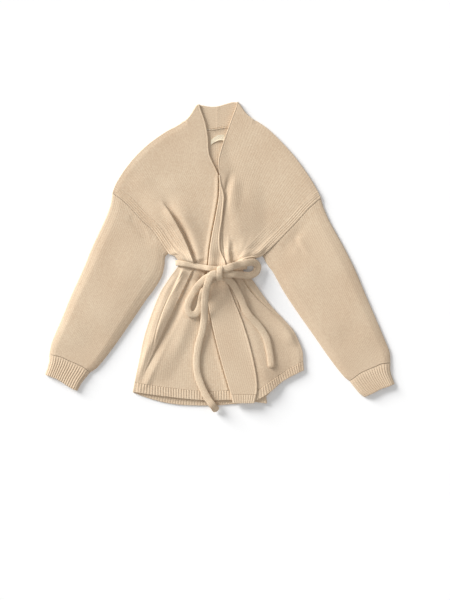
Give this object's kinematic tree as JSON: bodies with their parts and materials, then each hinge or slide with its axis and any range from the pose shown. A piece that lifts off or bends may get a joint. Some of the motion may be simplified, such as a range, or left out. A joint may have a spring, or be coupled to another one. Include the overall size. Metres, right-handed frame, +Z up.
{
  "type": "kimono cardigan",
  "caption": "Knitted kimono wrap cardigan laid flat, shawl collar, drop shoulders, ribbed cuffs and hem, tied at the waist with its own tubular belt in a bow.",
  "frame": {"origin": "middle of the bounding box of the cloth without the bow's loops and loose ends, on the surface it lies on", "axes": "+X towards the wearer's left across the sleeves, +Y from the hem to the collar, +Z up off the surface"},
  "size_m": [0.821, 0.7319, 0.0504],
  "materials": {
    "knit": "matte cotton knit",
    "rib_knit": "matte ribbed cotton knit",
    "label_tape": "woven tape",
    "belt_knit": "matte tubular cotton knit"
  },
  "bodies": {
    "root": {"back": "knit", "front_right": "knit", "front_left": "knit", "sleeve_right": "knit", "sleeve_left": "knit", "cuff_right": "rib_knit", "cuff_left": "rib_knit", "hem_back": "rib_knit", "hem_right": "rib_knit", "hem_left": "rib_knit", "label": "label_tape", "belt_waist": "belt_knit", "belt_knot": "belt_knit", "belt_loop_right": "belt_knit", "belt_loop_left": "belt_knit", "belt_end_right": "belt_knit", "belt_end_left": "belt_knit"}
  },
  "joints": []
}
